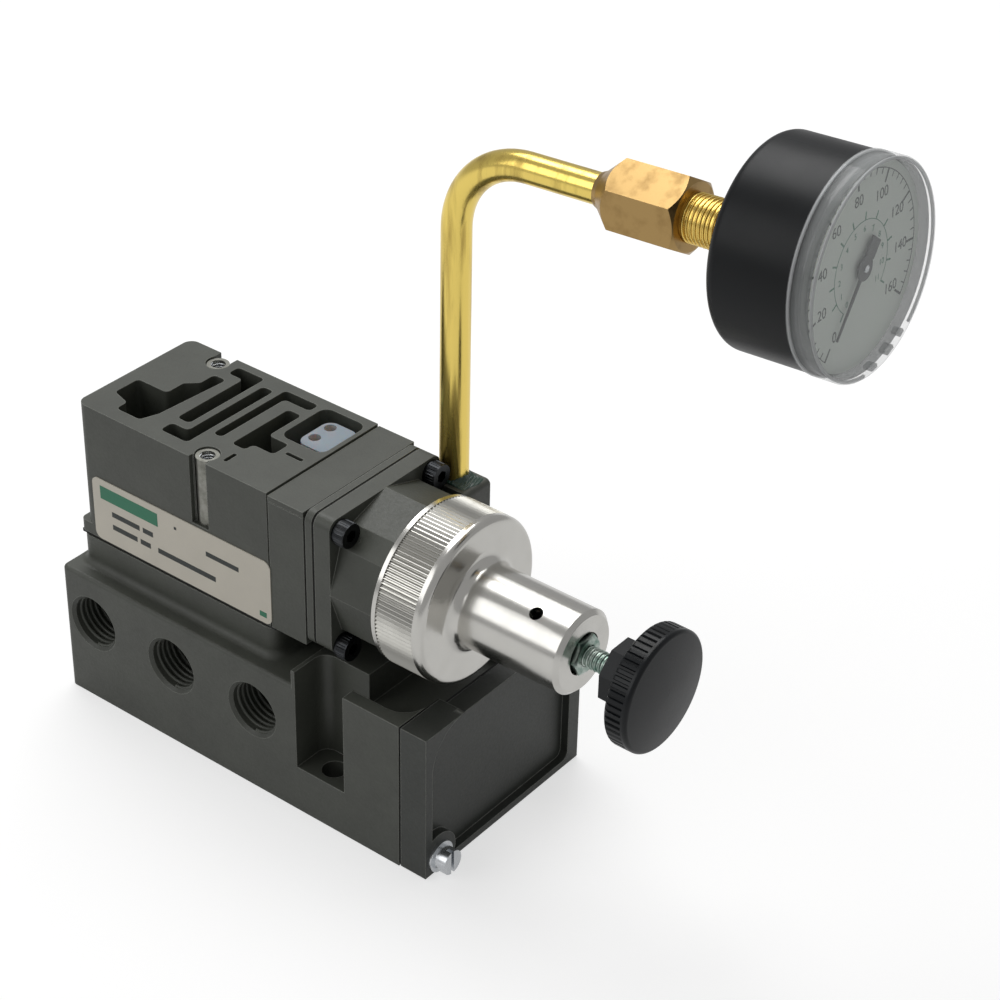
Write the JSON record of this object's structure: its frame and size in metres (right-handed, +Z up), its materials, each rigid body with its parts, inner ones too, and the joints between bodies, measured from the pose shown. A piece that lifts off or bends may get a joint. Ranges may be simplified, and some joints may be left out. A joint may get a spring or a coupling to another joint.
{
  "type": "air pressure regulator",
  "caption": "Regulator module on a ported base with a knurled adjusting cap, a black knob and a round gauge on a bent brass tube.",
  "frame": {"origin": "centre of the base's underside", "axes": "+X along the adjusting screw towards the knob, -Y is the face with three ports, +Z up"},
  "size_m": [0.1767, 0.0647, 0.1751],
  "materials": {
    "casting": "painted satin",
    "bright_aluminium": "machined bright",
    "tube_brass": "polished",
    "fitting_brass": "machined satin",
    "plated_steel": "zinc plated",
    "black_steel": "black oxide",
    "spring_steel": "plain",
    "seal_rubber": "matte",
    "knob_plastic": "moulded",
    "case_plastic": "satin",
    "label_film": "satin",
    "insert_plastic": "translucent",
    "sealant": "matte",
    "dial_face": "printed",
    "pointer_paint": "satin",
    "lens_plastic": "clear"
  },
  "bodies": {
    "body": {"base_block": "casting", "regulator_body": "casting", "adapter_plate": "casting", "bonnet": "casting", "end_cover": "casting", "base_gasket": "seal_rubber", "plate_gasket": "seal_rubber", "diaphragm": "seal_rubber", "cover_gasket": "seal_rubber", "mounting_screw_front": "plated_steel", "mounting_screw_rear": "plated_steel", "cap_nut": "plated_steel", "cover_screws": "plated_steel", "cover_washers": "plated_steel", "bonnet_screws": "black_steel", "spring_cap": "bright_aluminium", "range_spring": "spring_steel", "poppet_spring": "spring_steel", "valve_seat": "fitting_brass", "hex_adapter": "fitting_brass", "gauge_socket": "tube_brass", "brass_tube": "tube_brass", "bourdon_tube": "fitting_brass", "movement_plate": "fitting_brass", "gauge_case": "case_plastic", "label": "label_film", "port_insert": "insert_plastic", "tube_sealant": "sealant", "dial": "dial_face", "lens": "lens_plastic"},
    "carriage": {"upper_spring_seat": "bright_aluminium"},
    "adjuster": {"adjusting_screw": "plated_steel", "knob": "knob_plastic"},
    "valve_group": {"diaphragm_plate": "bright_aluminium", "valve_poppet": "fitting_brass", "poppet_seal": "seal_rubber"},
    "pointer_group": {"pointer": "pointer_paint", "pointer_spindle": "plated_steel"}
  },
  "joints": [
    {"name": "screw_advance", "type": "slide", "parent": "body", "child": "carriage", "axis": [1, 0, 0], "range_m": [-0.0061, 0.0031], "deforming": ["range_spring"]},
    {"name": "knob_turn", "type": "hinge", "parent": "carriage", "child": "adjuster", "pos_m": [0, -0.0045, 0.0585], "axis": [1, 0, 0], "range_deg": [-2160, 1080]},
    {"name": "poppet_lift", "type": "slide", "parent": "body", "child": "valve_group", "axis": [-1, 0, 0], "range_m": [0, 0.0008], "stiffness_N_per_m": 300, "springref_m": -0.002, "deforming": ["poppet_spring", "diaphragm"]},
    {"name": "pointer_swing", "type": "hinge", "parent": "body", "child": "pointer_group", "pos_m": [0.12299, 0.01645, 0.15376], "axis": [0.9978, 0, 0.0663], "range_deg": [-270, 0], "stiffness_Nm_per_rad": 0.002}
  ],
  "couplings": [
    {"joint": "screw_advance", "follows": "knob_turn", "m_per_rad": 0.00015915}
  ]
}
